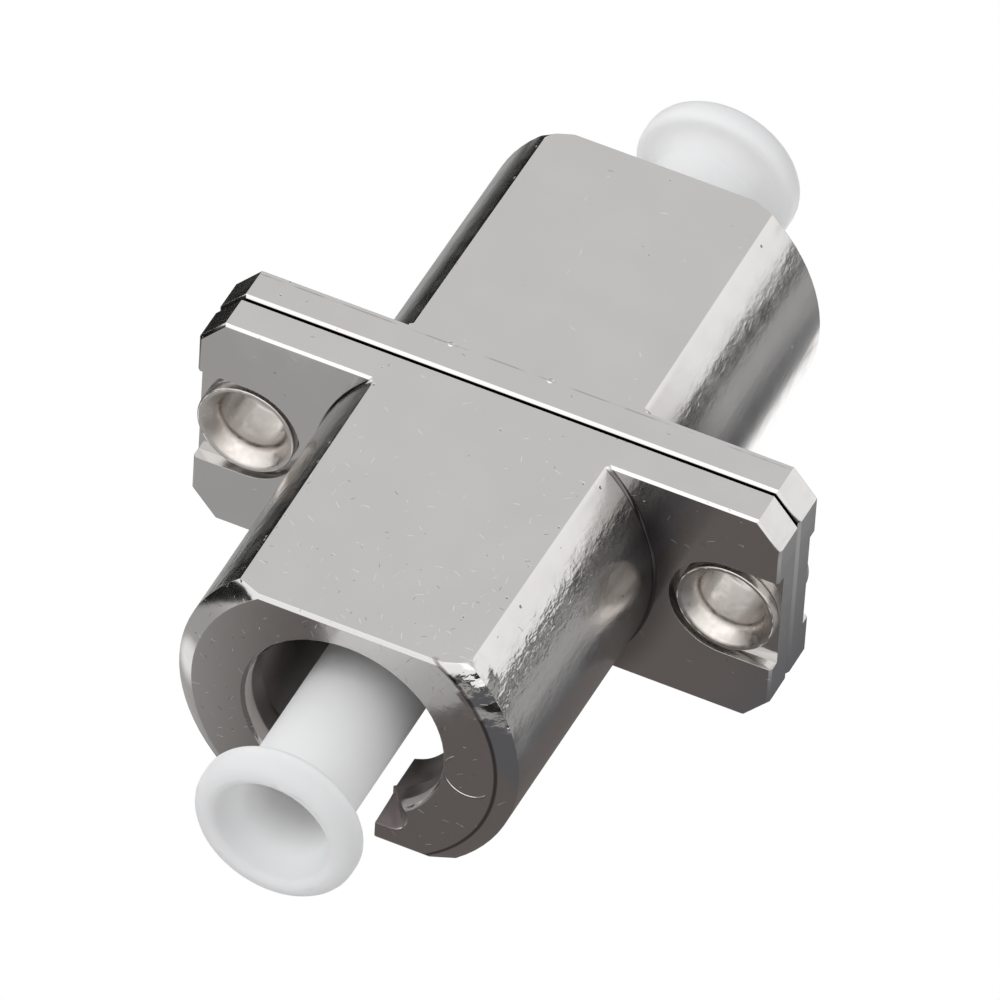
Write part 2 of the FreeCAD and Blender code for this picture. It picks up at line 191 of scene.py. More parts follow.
def blend(tree, factor, first, second):
    node = add(tree, "ShaderNodeMix", {0: factor}, data_type="RGBA")
    for index, value in ((6, first), (7, second)):
        if isinstance(value, bpy.types.NodeSocket):
            tree.links.new(value, node.inputs[index])
        else:
            node.inputs[index].default_value = value
    return node.outputs[2]


def noise(tree, place, scale, detail=2.0, roughness=0.5):
    node = add(tree, "ShaderNodeTexNoise",
               {"Vector": place, "Scale": scale, "Detail": detail, "Roughness": roughness})
    return node.outputs["Fac"]


def grey(value):
    return (value, value, value, 1)


def new_material(name):
    material = bpy.data.materials.new(name)
    material.use_nodes = True
    tree = material.node_tree
    tree.nodes.clear()
    output = tree.nodes.new("ShaderNodeOutputMaterial")
    shader = tree.nodes.new("ShaderNodeBsdfPrincipled")
    tree.links.new(shader.outputs[0], output.inputs["Surface"])
    return material, tree, shader


def millimetres(tree):
    """The point on the piece in millimetres, with its parts, and its surface direction."""
    coordinates = add(tree, "ShaderNodeTexCoord")
    place = add(tree, "ShaderNodeVectorMath", {0: coordinates.outputs["Object"], 1: (1000, 1000, 1000)},
                operation="MULTIPLY").outputs[0]
    parts = add(tree, "ShaderNodeSeparateXYZ", {0: place})
    facing = add(tree, "ShaderNodeSeparateXYZ", {0: coordinates.outputs["Normal"]})
    return place, parts.outputs, facing.outputs


# %% [markdown]
# ## Studio light
#
# A polished casting shows the room more than its own colour. The room here is a plain tent:
# brightest towards the front, a little darker at the back. Three kinds of ray look at it. Mirror
# rays see the tent, scattered rays see its mean brightness, and the camera sees a plain white
# backdrop.

# %% World
TENT_BACK = 0.83
TENT_FRONT = 1.75
TENT_LOW = 1.25
TENT_MEAN = 0.67
BELOW_HORIZON = 0.04
BACKDROP = 1.0


def by_ray(tree, mirrored, scattered, seen):
    """Picks one of three values by the kind of ray that arrives."""
    rays = add(tree, "ShaderNodeLightPath").outputs
    indirect = blend(tree, rays["Is Glossy Ray"], scattered, mirrored)
    return blend(tree, rays["Is Camera Ray"], indirect, seen)


def studio_world():
    world = bpy.data.worlds.new("studio")
    bpy.context.scene.world = world
    world.use_nodes = True
    tree = world.node_tree
    tree.nodes.clear()
    direction = add(tree, "ShaderNodeTexCoord").outputs["Generated"]
    parts = add(tree, "ShaderNodeSeparateXYZ", {0: direction}).outputs
    roof = blend(tree, rise(tree, parts[1], 0.35, -0.45), grey(TENT_BACK), grey(TENT_FRONT))
    tent = blend(tree, rise(tree, parts[2], 0.30, 0.65), grey(TENT_LOW), roof)
    room = blend(tree, rise(tree, parts[2], 0.00, 0.03), grey(BELOW_HORIZON), tent)
    seen = by_ray(tree, room, grey(TENT_MEAN), grey(BACKDROP))
    background = add(tree, "ShaderNodeBackground", {"Color": seen, "Strength": 1.0})
    output = tree.nodes.new("ShaderNodeOutputWorld")
    tree.links.new(background.outputs[0], output.inputs["Surface"])


studio_world()

# %% [markdown]
# One wide lamp high on the left gives the caps their soft shading. It is left out of the
# reflections, where the tent alone does the work.


# %% Lamp
LAMP_PLACE = (-0.14, -0.18, 0.35)
LAMP_SIZE = 0.30
LAMP_POWER = 0.62


def soft_lamp(name, place, aim, size, power):
    lamp = bpy.data.lights.new(name, "AREA")
    lamp.shape = "DISK"
    lamp.size = size
    lamp.energy = power
    holder = bpy.data.objects.new(name, lamp)
    bpy.context.scene.collection.objects.link(holder)
    holder.location = place
    holder.rotation_euler = (Vector(aim) - Vector(place)).to_track_quat("-Z", "Y").to_euler()
    holder.visible_glossy = False


soft_lamp("overhead_lamp", LAMP_PLACE, (0, 0, 0), LAMP_SIZE, LAMP_POWER)

# %% [markdown]
# The floor is a large pale sheet just under the lower flats. The camera sees it as plain white.
# What the metal mirrors of it makes most of the picture, and that is painted light, set by place:
# lighter on the left, painted shadow close to the object on the right and in front, and a painted
# black patch at the far left. A painted gleam lies by the front left corner, a painted bright strip
# lies under the rear barrel, and the floor is painted dark before the horizon at the back.

# %% Floor
FLOOR_HALF_SIDE = 0.6
FLOOR_DROP = 0.002 * MM
FLOOR_LEVEL = low.z / MM
FLOOR_LIGHT = 0.47
FLOOR_FAR_LEFT = 0.9
FLOOR_GLEAM = 1.1
FLOOR_STRIP = 1.3
FLOOR_DARK = 0.015
FLOOR_SCATTER_TONE = 0.3
FLOOR_SCATTERED = 0.5
FLOOR_SEEN = 1.0
FLOOR_SHADE = (0.16, 0.145, 0.14, 1)
FLOOR_SHADE_FAR = (0.135, 0.135, 0.145, 1)
BODY_HALF_WIDTH = 6.4
BODY_HALF_DEPTH = 12.7
END_SHARE = 0.55
RIGHT = (0.9, -0.43, 0)
BACK_LEFT = (-0.84, 0.54, 0)
FRONT_LEFT = (-0.75, -0.66, 0)
DARK_IN_FRONT = (18.0, -21.0, FLOOR_LEVEL)
GLEAM = (-11.5, -13.2, FLOOR_LEVEL)


def mirrored_floor(tree, place, parts):
    """How bright each place of the floor looks in the metal: painted light and painted shadow, set by place.
    Each rise runs between two millimetre marks.
    """
    past_side = math_of(tree, "SUBTRACT", size_of(tree, parts[0]), BODY_HALF_WIDTH)
    past_end = product(tree, math_of(tree, "SUBTRACT", size_of(tree, parts[1]), BODY_HALF_DEPTH), END_SHARE)
    gap = length_of(tree, flat_point(tree, most_of(tree, past_side, 0.0), most_of(tree, past_end, 0.0)))
    under_rear = product(tree, rise(tree, past_side, 2.0, 0.8), rise(tree, parts[1], 2.0, 5.0))
    strip = product(tree, under_rear, rise(tree, parts[0], 1.0, 3.0))
    beside = product(tree, rise(tree, gap, 12.0, 4.0), rise(tree, along(tree, place, RIGHT), -3.0, 5.0),
                     rest_of(tree, under_rear))
    in_front = rise(tree, distance_to(tree, place, DARK_IN_FRONT), 17.0, 11.0)
    far_left = rise(tree, along(tree, place, FRONT_LEFT), 25.0, 60.0)
    gleam = rise(tree, distance_to(tree, place, GLEAM), 3.0, 1.0)
    cool = most_of(tree, rise(tree, parts[0], 8.5, 11.0), rise(tree, parts[1], 0.0, 3.0))
    horizon = product(tree, rise(tree, distance_to(tree, place, (0, 0, 0)), 45.0, 70.0),
                      rise(tree, parts[0], -10.0, 20.0))
    # A painted black patch on the floor at the far left, seen only in the metal.
    painted_black_patch = product(tree, rise(tree, along(tree, place, BACK_LEFT), 9.5, 12.0),
                   rise(tree, parts[0], -12.0, -22.0))
    glow = blend(tree, far_left, grey(FLOOR_LIGHT), grey(FLOOR_FAR_LEFT))
    glow = blend(tree, gleam, glow, grey(FLOOR_GLEAM))
    shade = blend(tree, cool, FLOOR_SHADE, FLOOR_SHADE_FAR)
    glow = blend(tree, most_of(tree, beside, in_front), glow, shade)
    glow = blend(tree, strip, glow, grey(FLOOR_STRIP))
    return blend(tree, most_of(tree, horizon, painted_black_patch), glow, grey(FLOOR_DARK))


def pale_floor():
    sheet = bmesh.new()
    bmesh.ops.create_grid(sheet, x_segments=4, y_segments=4, size=FLOOR_HALF_SIDE)
    bmesh.ops.translate(sheet, verts=sheet.verts, vec=(0, 0, low.z - FLOOR_DROP))
    mesh = bpy.data.meshes.new("floor")
    sheet.to_mesh(mesh)
    sheet.free()
    floor = bpy.data.objects.new("floor", mesh)
    bpy.context.scene.collection.objects.link(floor)
    material, tree, shader = new_material("pale_floor")
    place, parts, _ = millimetres(tree)
    tree.links.new(by_ray(tree, grey(0), grey(FLOOR_SCATTER_TONE), grey(0)), shader.inputs["Base Color"])
    shader.inputs["Roughness"].default_value = 1.0
    shader.inputs["Specular IOR Level"].default_value = 0.0
    glow = by_ray(tree, mirrored_floor(tree, place, parts), grey(FLOOR_SCATTERED), grey(FLOOR_SEEN))
    tree.links.new(glow, shader.inputs["Emission Color"])
    shader.inputs["Emission Strength"].default_value = 1.0
    mesh.materials.append(material)


pale_floor()
bpy.context.scene.view_settings.view_transform = "Standard"

# %% [markdown]
# Light that has bounced a few times between bright metal and a pale floor adds almost nothing more,
# so the paths are kept short.

# %% Light paths
MOST_BOUNCES = 5
DIFFUSE_BOUNCES = 2
MIRROR_BOUNCES = 3
paths = bpy.context.scene.cycles
paths.max_bounces = MOST_BOUNCES
paths.diffuse_bounces = DIFFUSE_BOUNCES
paths.glossy_bounces = MIRROR_BOUNCES
paths.transmission_bounces = 0

# %% [markdown]
# ## Nickel plating
#
# Bright nickel over a zinc casting is a slightly warm grey mirror. Tumbling leaves fine short
# scratches in all directions, small dents along the edges, and a pebbled skin on the round sides.
# Each is a thin layer of bump, roughness and colour. Scratches are drawn in the plane that the
# surface faces, so they never stretch. Painted shade darkens the root of the flange, the inside of
# the port and the keyway, and a painted highlight lightens the land at the front of the port.


# %% Plating helpers
FACES_THAT_WAY = 0.7


def face_plane(tree, parts, facing):
    """Two coordinates that lie in the surface: x and y on top, x and z in front, z and y at the sides."""
    on_top = flat_point(tree, parts[0], parts[1])
    in_front = flat_point(tree, parts[0], parts[2])
    at_side = flat_point(tree, parts[2], parts[1])
    top_share = math_of(tree, "GREATER_THAN", size_of(tree, facing[2]), FACES_THAT_WAY)
    front_share = math_of(tree, "GREATER_THAN", size_of(tree, facing[1]), FACES_THAT_WAY)
    flat = add(tree, "ShaderNodeMix", {0: top_share, 4: at_side, 5: on_top}, data_type="VECTOR").outputs[1]
    return add(tree, "ShaderNodeMix", {0: front_share, 4: flat, 5: in_front}, data_type="VECTOR").outputs[1]


def short_scratches(tree, plane, cell, half_length, half_width, share, shift):
    """At most one straight scratch in each cell of a grid, at its own place, angle and length."""
    moved = add(tree, "ShaderNodeVectorMath", {0: plane, 1: (shift, shift * 1.7, 0)},
                operation="ADD").outputs[0]
    cells = add(tree, "ShaderNodeTexVoronoi", {"Vector": moved, "Scale": 1 / cell, "Randomness": 1.0},
                voronoi_dimensions="2D")
    centre = cells.outputs["Position"]
    offset = add(tree, "ShaderNodeVectorMath", {0: moved, 1: centre}, operation="SUBTRACT").outputs[0]
    luck = add(tree, "ShaderNodeSeparateColor", {0: cells.outputs["Color"]}).outputs
    turned = add(tree, "ShaderNodeVectorRotate", {"Vector": offset, "Angle": product(tree, luck[0], math.pi)},
                 rotation_type="Z_AXIS").outputs[0]
    from_centre = add(tree, "ShaderNodeSeparateXYZ", {0: turned}).outputs
    reach = product(tree, luck[1], half_length)
    to_the_tip = math_of(tree, "SUBTRACT", reach, size_of(tree, from_centre[0]))
    return product(tree, rise(tree, to_the_tip, 0.0, half_length * 0.3),
                   rise(tree, size_of(tree, from_centre[1]), half_width, half_width * 0.3),
                   math_of(tree, "LESS_THAN", luck[2], share))


def dents(tree, place, cell, radius, share):
    """Small round hollows scattered through space."""
    cells = add(tree, "ShaderNodeTexVoronoi", {"Vector": place, "Scale": 1 / cell, "Randomness": 1.0})
    luck = add(tree, "ShaderNodeSeparateColor", {0: cells.outputs["Color"]}).outputs
    hollow = rise(tree, cells.outputs["Distance"], radius / cell, radius / cell * 0.3)
    return product(tree, hollow, math_of(tree, "LESS_THAN", luck[0], share))


def bump(tree, height, distance, strength, under=None):
    inputs = {"Height": height, "Distance": distance, "Strength": strength}
    if under is not None:
        inputs["Normal"] = under
    return add(tree, "ShaderNodeBump", inputs).outputs[0]


# %% Measures of the casting
# Millimetres from the origin of the part, as the surface pattern needs them.
BARREL_FLAT_HALF = 4.32
FLAT_HEIGHT = 4.75
MOUTH_WALL_RADIUS = 4.0
FACE_DEPTH = 12.66
BEVEL_START_RADIUS = 5.71
BATTERED_CORNER = (4.85, -12.45, 4.25)
DENTED_BEVEL = (5.7, -12.45, 2.4)
ROOT_DEPTH = 1.56
ROOT_RADIUS = 6.45
EJECTOR_MARK = (4.69, -FACE_DEPTH, -0.15)
EJECTOR_RADIUS = 0.905
PARTING_LINE = 1.27
PIPS = ((-2.8, PARTING_LINE, FLAT_HEIGHT), (0.96, PARTING_LINE, FLAT_HEIGHT))

# %% Fades of the casting
# A fade starts at its first number and is full at its second, in millimetres.
ROUND_SIDE = (4.2, 4.6)
KEYWAY_FLOOR = (-4.65, -4.5)
KEYWAY_ROOF = (-2.9, -3.3)
KEYWAY_SIDE = (2.9, 2.75)
KEYWAY_START = (10.0, 11.0)
LAND_START = (11.95, 12.1)
EDGE_WEAR = (0.5, 0.15)
BATTERED_REACH = (1.1, 0.3)
DENTED_REACH = (1.5, 0.4)
FACE_BEVEL_RING_WIDTH = (0.09, 0.03)
THIN_LINE = (0.05, 0.01)
PIP_SIZE = (0.14, 0.04)
JOINT_LINE = (0.09, 0.07)
OFF_THE_FLAT = (4.72, 4.55)

# %% Strengths of the marks
SCRATCHES = {"cell": 0.5, "half_length": 0.2, "half_width": 0.012, "shift": 0.0}
DARK_SCRATCHES = {"cell": 0.8, "half_length": 0.12, "half_width": 0.022, "shift": 3.1}
NICKS = {"cell": 0.45, "radius": 0.07}
PIT_DIRT = 0.6
FACE_BEVEL_RING_DARKNESS = 0.8
LINE_DIRT = 0.35
DARK_SCRATCH_GAIN = 1.3
SKIN_RELIEF = 2.0
CRUMPLE_RELIEF = 16.0
SCRATCH_RELIEF = 0.5
PIT_RELIEF = 2.5
RAISED_RELIEF = 5.0

# %% Colours of the casting
NICKEL_DARK = (0.60, 0.585, 0.57, 1)
NICKEL_LIGHT = (0.66, 0.645, 0.635, 1)
SCRATCH_COLOUR = (0.86, 0.84, 0.82, 1)
# Dark colour for the real pits, marks and joint line, and also for the painted shade at the flange root.
DIRT_AND_SHADE_COLOUR = (0.10, 0.085, 0.08, 1)
# Painted shade in the crease where the flange meets the barrel.
ROOT_SHADE_COLOUR = (0.05, 0.045, 0.043, 1)
# Painted shade inside the port.
PORT_SHADE_COLOUR = (0.26, 0.235, 0.23, 1)
# Painted highlight on the land at the front of the port.
LAND_HIGHLIGHT_COLOUR = (0.86, 0.82, 0.80, 1)
# Painted shade in the keyway recess.
KEYWAY_SHADE_COLOUR = (0.40, 0.34, 0.335, 1)


# %% Zones of the casting
def casting_zones(tree, place, parts, facing):
    """Where on the casting a point is. Each zone is a share from 0 to 1."""
    zones = SimpleNamespace()
    zones.wide, zones.deep, zones.tall = (size_of(tree, parts[axis]) for axis in range(3))
    zones.radius = length_of(tree, flat_point(tree, parts[0], parts[2]))
    not_end = rest_of(tree, math_of(tree, "GREATER_THAN", size_of(tree, facing[1]), 0.5))
    zones.on_round = product(tree, rise(tree, zones.wide, *ROUND_SIDE), not_end)
    zones.inside = product(tree, math_of(tree, "LESS_THAN", zones.radius, MOUTH_WALL_RADIUS), not_end)
    zones.keyway = product(tree, rise(tree, parts[2], *KEYWAY_FLOOR), rise(tree, parts[2], *KEYWAY_ROOF),
                           rise(tree, zones.wide, *KEYWAY_SIDE), rise(tree, zones.deep, *KEYWAY_START),
                           not_end)
    zones.land = product(tree, zones.inside, rise(tree, zones.deep, *LAND_START),
                         rest_of(tree, zones.keyway))
    beside_edge = math_of(tree, "SUBTRACT", zones.wide, BARREL_FLAT_HALF)
    below_edge = math_of(tree, "SUBTRACT", zones.tall, FLAT_HEIGHT)
    zones.near_edge = rise(tree, length_of(tree, flat_point(tree, beside_edge, below_edge)), *EDGE_WEAR)
    battered = rise(tree, distance_to(tree, place, BATTERED_CORNER), *BATTERED_REACH)
    dented = rise(tree, distance_to(tree, place, DENTED_BEVEL), *DENTED_REACH, 0.0, 0.25)
    zones.battered = most_of(tree, battered, dented)
    return zones


# %% Marks on the casting
def casting_marks(tree, place, parts, facing, zones):
    """Scratches, pits, a dark ring where the front face meets its bevel on the right, the parting line and
    the pips of the mould.
    """
    marks = SimpleNamespace()
    plane = face_plane(tree, parts, facing)
    scratched = rise(tree, parts[1], 2.0, -10.0, 0.05, 0.45)
    scratch = short_scratches(tree, plane, share=scratched, **SCRATCHES)
    marks.scratch = product(tree, scratch, math_of(tree, "MULTIPLY_ADD", zones.on_round, -0.8, 1.0))
    marks.dark_scratch = short_scratches(tree, plane, share=scratched, **DARK_SCRATCHES)
    nicked = rise(tree, parts[1], 1.0, -2.0, 0.2, 0.8)
    nicked = math_of(tree, "MULTIPLY_ADD", zones.near_edge, nicked, 0.05)
    marks.pit = product(tree, dents(tree, place, share=nicked, **NICKS), rest_of(tree, zones.inside))
    # A dark ring where the front face meets its bevel, on the right side only.
    marks.residue = product(tree, rise(tree, off_by(tree, zones.radius, BEVEL_START_RADIUS), *FACE_BEVEL_RING_WIDTH),
                            rise(tree, parts[0], 2.6, 3.6),
                            rise(tree, parts[1], -FACE_DEPTH + 0.3, -FACE_DEPTH + 0.1))
    marks.line = product(tree, rise(tree, off_by(tree, parts[1], PARTING_LINE), *THIN_LINE),
                         math_of(tree, "GREATER_THAN", facing[2], 0.9),
                         rise(tree, noise(tree, place, 0.8), 0.42, 0.58))
    arc = off_by(tree, distance_to(tree, place, EJECTOR_MARK), EJECTOR_RADIUS)
    ejector = product(tree, rise(tree, arc, *THIN_LINE), rise(tree, parts[1], 0.0, -1.0),
                      rise(tree, math_of(tree, "ADD", parts[0], parts[2]), 4.9, 4.2))
    pips = [rise(tree, distance_to(tree, place, centre), *PIP_SIZE) for centre in PIPS]
    marks.raised = most_of(tree, ejector, *pips)
    return marks


# %% Colour of the casting
def casting_colour(tree, place, parts, zones, marks):
    metal = blend(tree, noise(tree, place, 0.35), NICKEL_DARK, NICKEL_LIGHT)
    metal = blend(tree, product(tree, marks.scratch, 0.45), metal, SCRATCH_COLOUR)
    root_gap = off_by(tree, zones.deep, ROOT_DEPTH)
    ring_gap = off_by(tree, zones.radius, ROOT_RADIUS)
    off_flat = rise(tree, zones.tall, *OFF_THE_FLAT)
    # Painted shade: a near-black line in the crease where the flange meets the barrel, stronger on the right.
    root_crease_shade = product(tree, rise(tree, root_gap, 0.11, 0.06), rise(tree, ring_gap, 0.12, 0.07),
                   rise(tree, parts[0], -3.0, 3.0, 0.3, 0.8), off_flat)
    # Painted shade: the metal near the root of the flange is darkened, most on the right, on the round of the
    # barrel and low down.
    shade = product(tree, rise(tree, root_gap, 3.8, 0.1), rise(tree, ring_gap, 1.2, 0.1),
                    rise(tree, parts[0], 0.0, 4.0, 0.0, 0.45), rise(tree, parts[2], 4.2, 2.8, 0.3, 1.0),
                    math_of(tree, "MULTIPLY_ADD", zones.on_round, 0.6, 1.0), off_flat)
    joint = rise(tree, zones.deep, *JOINT_LINE)
    thin_marks = most_of(tree, marks.line, product(tree, marks.dark_scratch, DARK_SCRATCH_GAIN))
    # Real pits, marks and the joint line mix with the painted shade at the flange root into one dark share.
    dirt_and_shade = most_of(tree, product(tree, marks.pit, PIT_DIRT), product(tree, marks.residue, FACE_BEVEL_RING_DARKNESS),
                   product(tree, thin_marks, LINE_DIRT), shade, joint)
    metal = blend(tree, dirt_and_shade, metal, DIRT_AND_SHADE_COLOUR)
    metal = blend(tree, root_crease_shade, metal, ROOT_SHADE_COLOUR)
    # Painted shade: the metal inside the port is painted darker.
    metal = blend(tree, product(tree, zones.inside, 0.75), metal, PORT_SHADE_COLOUR)
    # Painted highlight: the land at the front of the port is painted much lighter than the nickel.
    metal = blend(tree, zones.land, metal, LAND_HIGHLIGHT_COLOUR)
    # Painted shade: the keyway recess is painted darker and browner.
    return blend(tree, product(tree, zones.keyway, 0.9), metal, KEYWAY_SHADE_COLOUR)


# %% Gloss of the casting
def casting_roughness(tree, place, zones):
    polish = rise(tree, noise(tree, place, 1.1), 0.3, 0.7, 0.09, 0.15)
    dull = math_of(tree, "ADD", product(tree, zones.inside, 0.22), product(tree, zones.on_round, 0.10))
    dull = math_of(tree, "MULTIPLY_ADD", most_of(tree, zones.keyway, zones.land), 0.35, dull)
    return math_of(tree, "ADD", polish, dull)


# %% Relief of the casting
def casting_height(tree, place, parts, zones, marks):
    """The pebbled skin of the round sides, the crumpled corner and the marks, in units of BUMP_UNIT."""
    drawn = add(tree, "ShaderNodeVectorMath", {0: place, 1: (1, 0.5, 1)}, operation="MULTIPLY").outputs[0]
    skin = noise(tree, drawn, 3.4, 2.0, 0.6)
    pebbled = product(tree, zones.on_round, rise(tree, parts[1], 2.0, -11.0, 0.5, 1.7),
                      rise(tree, parts[2], 1.6, 3.2, 0.25, 1.0), rise(tree, parts[2], 4.4, 3.6, 0.3, 1.0))
    pebbled = math_of(tree, "ADD", pebbled, 0.10)
    pebbled = math_of(tree, "MULTIPLY_ADD", zones.battered, 2.0, pebbled)
    crumple = product(tree, zones.battered, noise(tree, place, 1.7, 1.0))
    height = product(tree, skin, product(tree, pebbled, SKIN_RELIEF))
    height = math_of(tree, "MULTIPLY_ADD", crumple, CRUMPLE_RELIEF, height)
    height = math_of(tree, "SUBTRACT", height, product(tree, marks.scratch, SCRATCH_RELIEF))
    height = math_of(tree, "SUBTRACT", height, product(tree, marks.pit, PIT_RELIEF))
    return math_of(tree, "ADD", height, product(tree, marks.raised, RAISED_RELIEF))


# %% Nickel on the castings
BUMP_UNIT = 0.01 * MM


def casting_nickel():
    material, tree, shader = new_material("casting_nickel")
    place, parts, facing = millimetres(tree)
    zones = casting_zones(tree, place, parts, facing)
    marks = casting_marks(tree, place, parts, facing, zones)
    tree.links.new(casting_colour(tree, place, parts, zones, marks), shader.inputs["Base Color"])
    shader.inputs["Metallic"].default_value = 1.0
    tree.links.new(casting_roughness(tree, place, zones), shader.inputs["Roughness"])
    height = casting_height(tree, place, parts, zones, marks)
    tree.links.new(bump(tree, height, BUMP_UNIT, 1.0), shader.inputs["Normal"])
    return material


nickel = casting_nickel()
print("nodes in the nickel:", len(nickel.node_tree.nodes))


# %% Nickel on the rivets and turned pieces
RING_DEPTH = 0.008 * MM


def plain_nickel(name, light, roughness, ring_scale):
    """A smoother plating, with faint rings from the forming or turning."""
    material, tree, shader = new_material(name)
    place, parts, _ = millimetres(tree)
    dark = tuple(0.9 * value for value in light)
    metal = blend(tree, noise(tree, place, 1.4, 3.0), dark + (1,), light + (1,))
    tree.links.new(metal, shader.inputs["Base Color"])
    shader.inputs["Metallic"].default_value = 1.0
    gloss = rise(tree, noise(tree, place, 4.0, 3.0), 0.3, 0.7, roughness, roughness * 1.6)
    tree.links.new(gloss, shader.inputs["Roughness"])
    along_axis = add(tree, "ShaderNodeCombineXYZ", {1: parts[1]}).outputs[0]
    rings = noise(tree, along_axis, ring_scale, 3.0)
    height = math_of(tree, "ADD", rings, product(tree, noise(tree, place, 2.0), 0.6))
    tree.links.new(bump(tree, height, RING_DEPTH, 0.4), shader.inputs["Normal"])
    return material


rivet_nickel = plain_nickel("rivet_nickel", (0.66, 0.62, 0.585), 0.27, 4.0)
turned_nickel = plain_nickel("turned_nickel", (0.62, 0.60, 0.57), 0.22, 22.0)


# %% [markdown]
# ## Milky caps and ceramic
#
# The caps are soft polyethylene: light goes in, scatters and comes out, so their shading has no
# hard edges. Subsurface scattering does that. A faint mould texture breaks the gloss. The outer end
# of each cap, its rim and mouth, is painted darker as painted shade.


# %% Cap plastic and sleeve ceramic
MILK_DARK = (0.90, 0.905, 0.915, 1)
MILK_LIGHT = (0.935, 0.94, 0.945, 1)
MILK_SHADED_AT_RIM = (0.73, 0.735, 0.745, 1)
SCATTER_DEPTH = 1.2 * MM
DRAG_DEPTH = 0.01 * MM
GRAIN_DEPTH = 0.005 * MM
CERAMIC_DARK = (0.84, 0.83, 0.80, 1)
CERAMIC_LIGHT = (0.90, 0.89, 0.86, 1)
GRINDING_DEPTH = 0.003 * MM


def milky_plastic():
    material, tree, shader = new_material("milky_plastic")
    place, parts, _ = millimetres(tree)
    colour = blend(tree, noise(tree, place, 0.5, 3.0), MILK_DARK, MILK_LIGHT)
    # Painted shade: the outer end of the cap, its rim and mouth, is painted darker.
    colour = blend(tree, rise(tree, size_of(tree, parts[1]), 17.0, 18.2), colour, MILK_SHADED_AT_RIM)
    tree.links.new(colour, shader.inputs["Base Color"])
    shader.inputs["Subsurface Weight"].default_value = 0.6
    shader.inputs["Subsurface Radius"].default_value = (1.0, 0.95, 0.9)
    shader.inputs["Subsurface Scale"].default_value = SCATTER_DEPTH
    shader.inputs["Specular IOR Level"].default_value = 0.4
    tree.links.new(rise(tree, noise(tree, place, 2.0, 3.0), 0.3, 0.7, 0.42, 0.55), shader.inputs["Roughness"])
    drag = add(tree, "ShaderNodeMapping", {"Vector": place, "Scale": (4.0, 0.4, 4.0)}).outputs[0]
    normal = bump(tree, noise(tree, drag, 1.0, 3.0), DRAG_DEPTH, 0.35)
    normal = bump(tree, noise(tree, place, 8.0, 2.0), GRAIN_DEPTH, 0.3, normal)
    tree.links.new(normal, shader.inputs["Normal"])
    return material


def sleeve_ceramic():
    material, tree, shader = new_material("sleeve_ceramic")
    place, _, _ = millimetres(tree)
    colour = blend(tree, noise(tree, place, 2.0, 3.0), CERAMIC_DARK, CERAMIC_LIGHT)
    tree.links.new(colour, shader.inputs["Base Color"])
    tree.links.new(rise(tree, noise(tree, place, 6.0), 0.3, 0.7, 0.18, 0.28), shader.inputs["Roughness"])
    tree.links.new(bump(tree, noise(tree, place, 12.0, 2.0), GRINDING_DEPTH, 0.3), shader.inputs["Normal"])
    return material


cap_plastic = milky_plastic()
ceramic = sleeve_ceramic()

# %% [markdown]
# ## Pieces that keep their CAD shape
#
# The sleeve holders and the split sleeve lie inside. Their CAD shape is right, so they only need a
# finish.


# %% Finishes on the CAD pieces
def finish_node(name, material):
    slots = nodes[name].material_slots
    if not slots:
        nodes[name].data.materials.append(material)
    for slot in slots:
        slot.material = material


for side in ("front", "rear"):
    finish_node(side + "_sleeve_holder", turned_nickel)
finish_node("split_sleeve", ceramic)


# %% [markdown]
# ## Rounded castings
#
# No casting has knife edges. Tumbling rounds each one by a few hundredths of a millimetre, and that
# thin round is what draws the bright lines along the edges. A copy of the CAD mesh is merged, its
# flat areas are joined into whole faces again, and every sharp edge is bevelled.


# %% Rounding helper
MERGE_GAP = 0.0005 * MM
SAME_PLANE = math.radians(0.6)
SHARP = math.radians(20)
EDGE_ROUND = 0.05 * MM
JOINT_HALF = 0.1 * MM
JOINT_CLOSED = 0.7
JOINT_CHAMFER = 0.22 * MM
CHAMFER_CLOSED = 0.78
JOINT_TOLERANCE = 0.002 * MM
WORN_REACH = 0.55 * MM
WORN_CORNER = Vector((4.32, -12.56, 4.75)) * MM
NORMAL_WEIGHT = 60


def piece_from(name, mesh, material, body, stands_for):
    data = bpy.data.meshes.new(name)
    mesh.to_mesh(data)
    mesh.free()
    for polygon in data.polygons:
        polygon.use_smooth = True
    data.materials.append(material)
    piece = bpy.data.objects.new(name, data)
    bpy.context.scene.collection.objects.link(piece)
    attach(piece, body)
    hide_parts(stands_for)
    return piece


def bevel(mesh, geometry, width, kind, segments, slide=False):
    bmesh.ops.bevel(mesh, geom=geometry, offset=width, offset_type="OFFSET", affect=kind, segments=segments,
                    profile=0.5, material=-1, clamp_overlap=True, loop_slide=slide)


def narrow_joint(mesh):
    """Draws the corners beside the joint line closer to it."""
    for vert in mesh.verts:
        for depth, share in ((JOINT_HALF, JOINT_CLOSED), (JOINT_CHAMFER, CHAMFER_CLOSED)):
            if abs(abs(vert.co.y) - depth) < JOINT_TOLERANCE:
                vert.co.y *= share
                break


